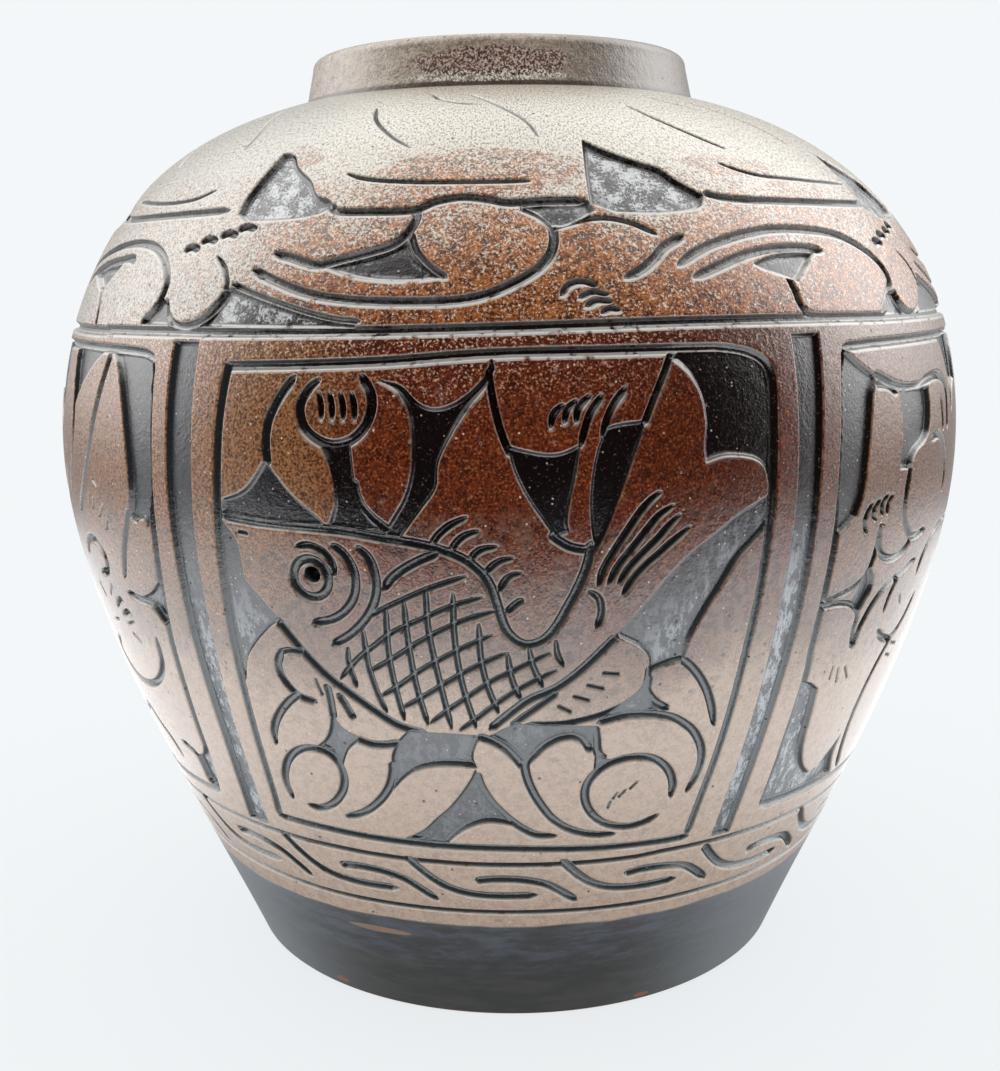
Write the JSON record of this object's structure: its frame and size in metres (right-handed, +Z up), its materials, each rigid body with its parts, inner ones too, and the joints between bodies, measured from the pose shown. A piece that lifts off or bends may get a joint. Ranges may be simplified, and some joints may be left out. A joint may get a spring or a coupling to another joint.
{
  "type": "ceramic jar",
  "caption": "Wide-bellied glazed stoneware jar with a short open neck, carved panels round the belly, and ruled bands at the foot and shoulder.",
  "frame": {"origin": "on the surface the jar stands on, at the middle of its foot", "axes": "+Z up the jar's own axis through the mouth; -Y faces the camera in the picture; +X to the right in the picture"},
  "size_m": [0.2848, 0.2848, 0.28],
  "materials": {
    "foot_glaze": "glossy dark slate glaze, thin at the edge",
    "body_glaze": "glossy iron-brown glaze, nearly black where it pools in the carving",
    "shoulder_glaze": "glossy iron-brown glaze with pale worn edges",
    "neck_glaze": "glossy iron-brown glaze, worn to tan at the rim"
  },
  "bodies": {
    "root": {"base": "foot_glaze", "body_wall": "body_glaze", "shoulder": "shoulder_glaze", "neck": "neck_glaze"}
  },
  "joints": []
}
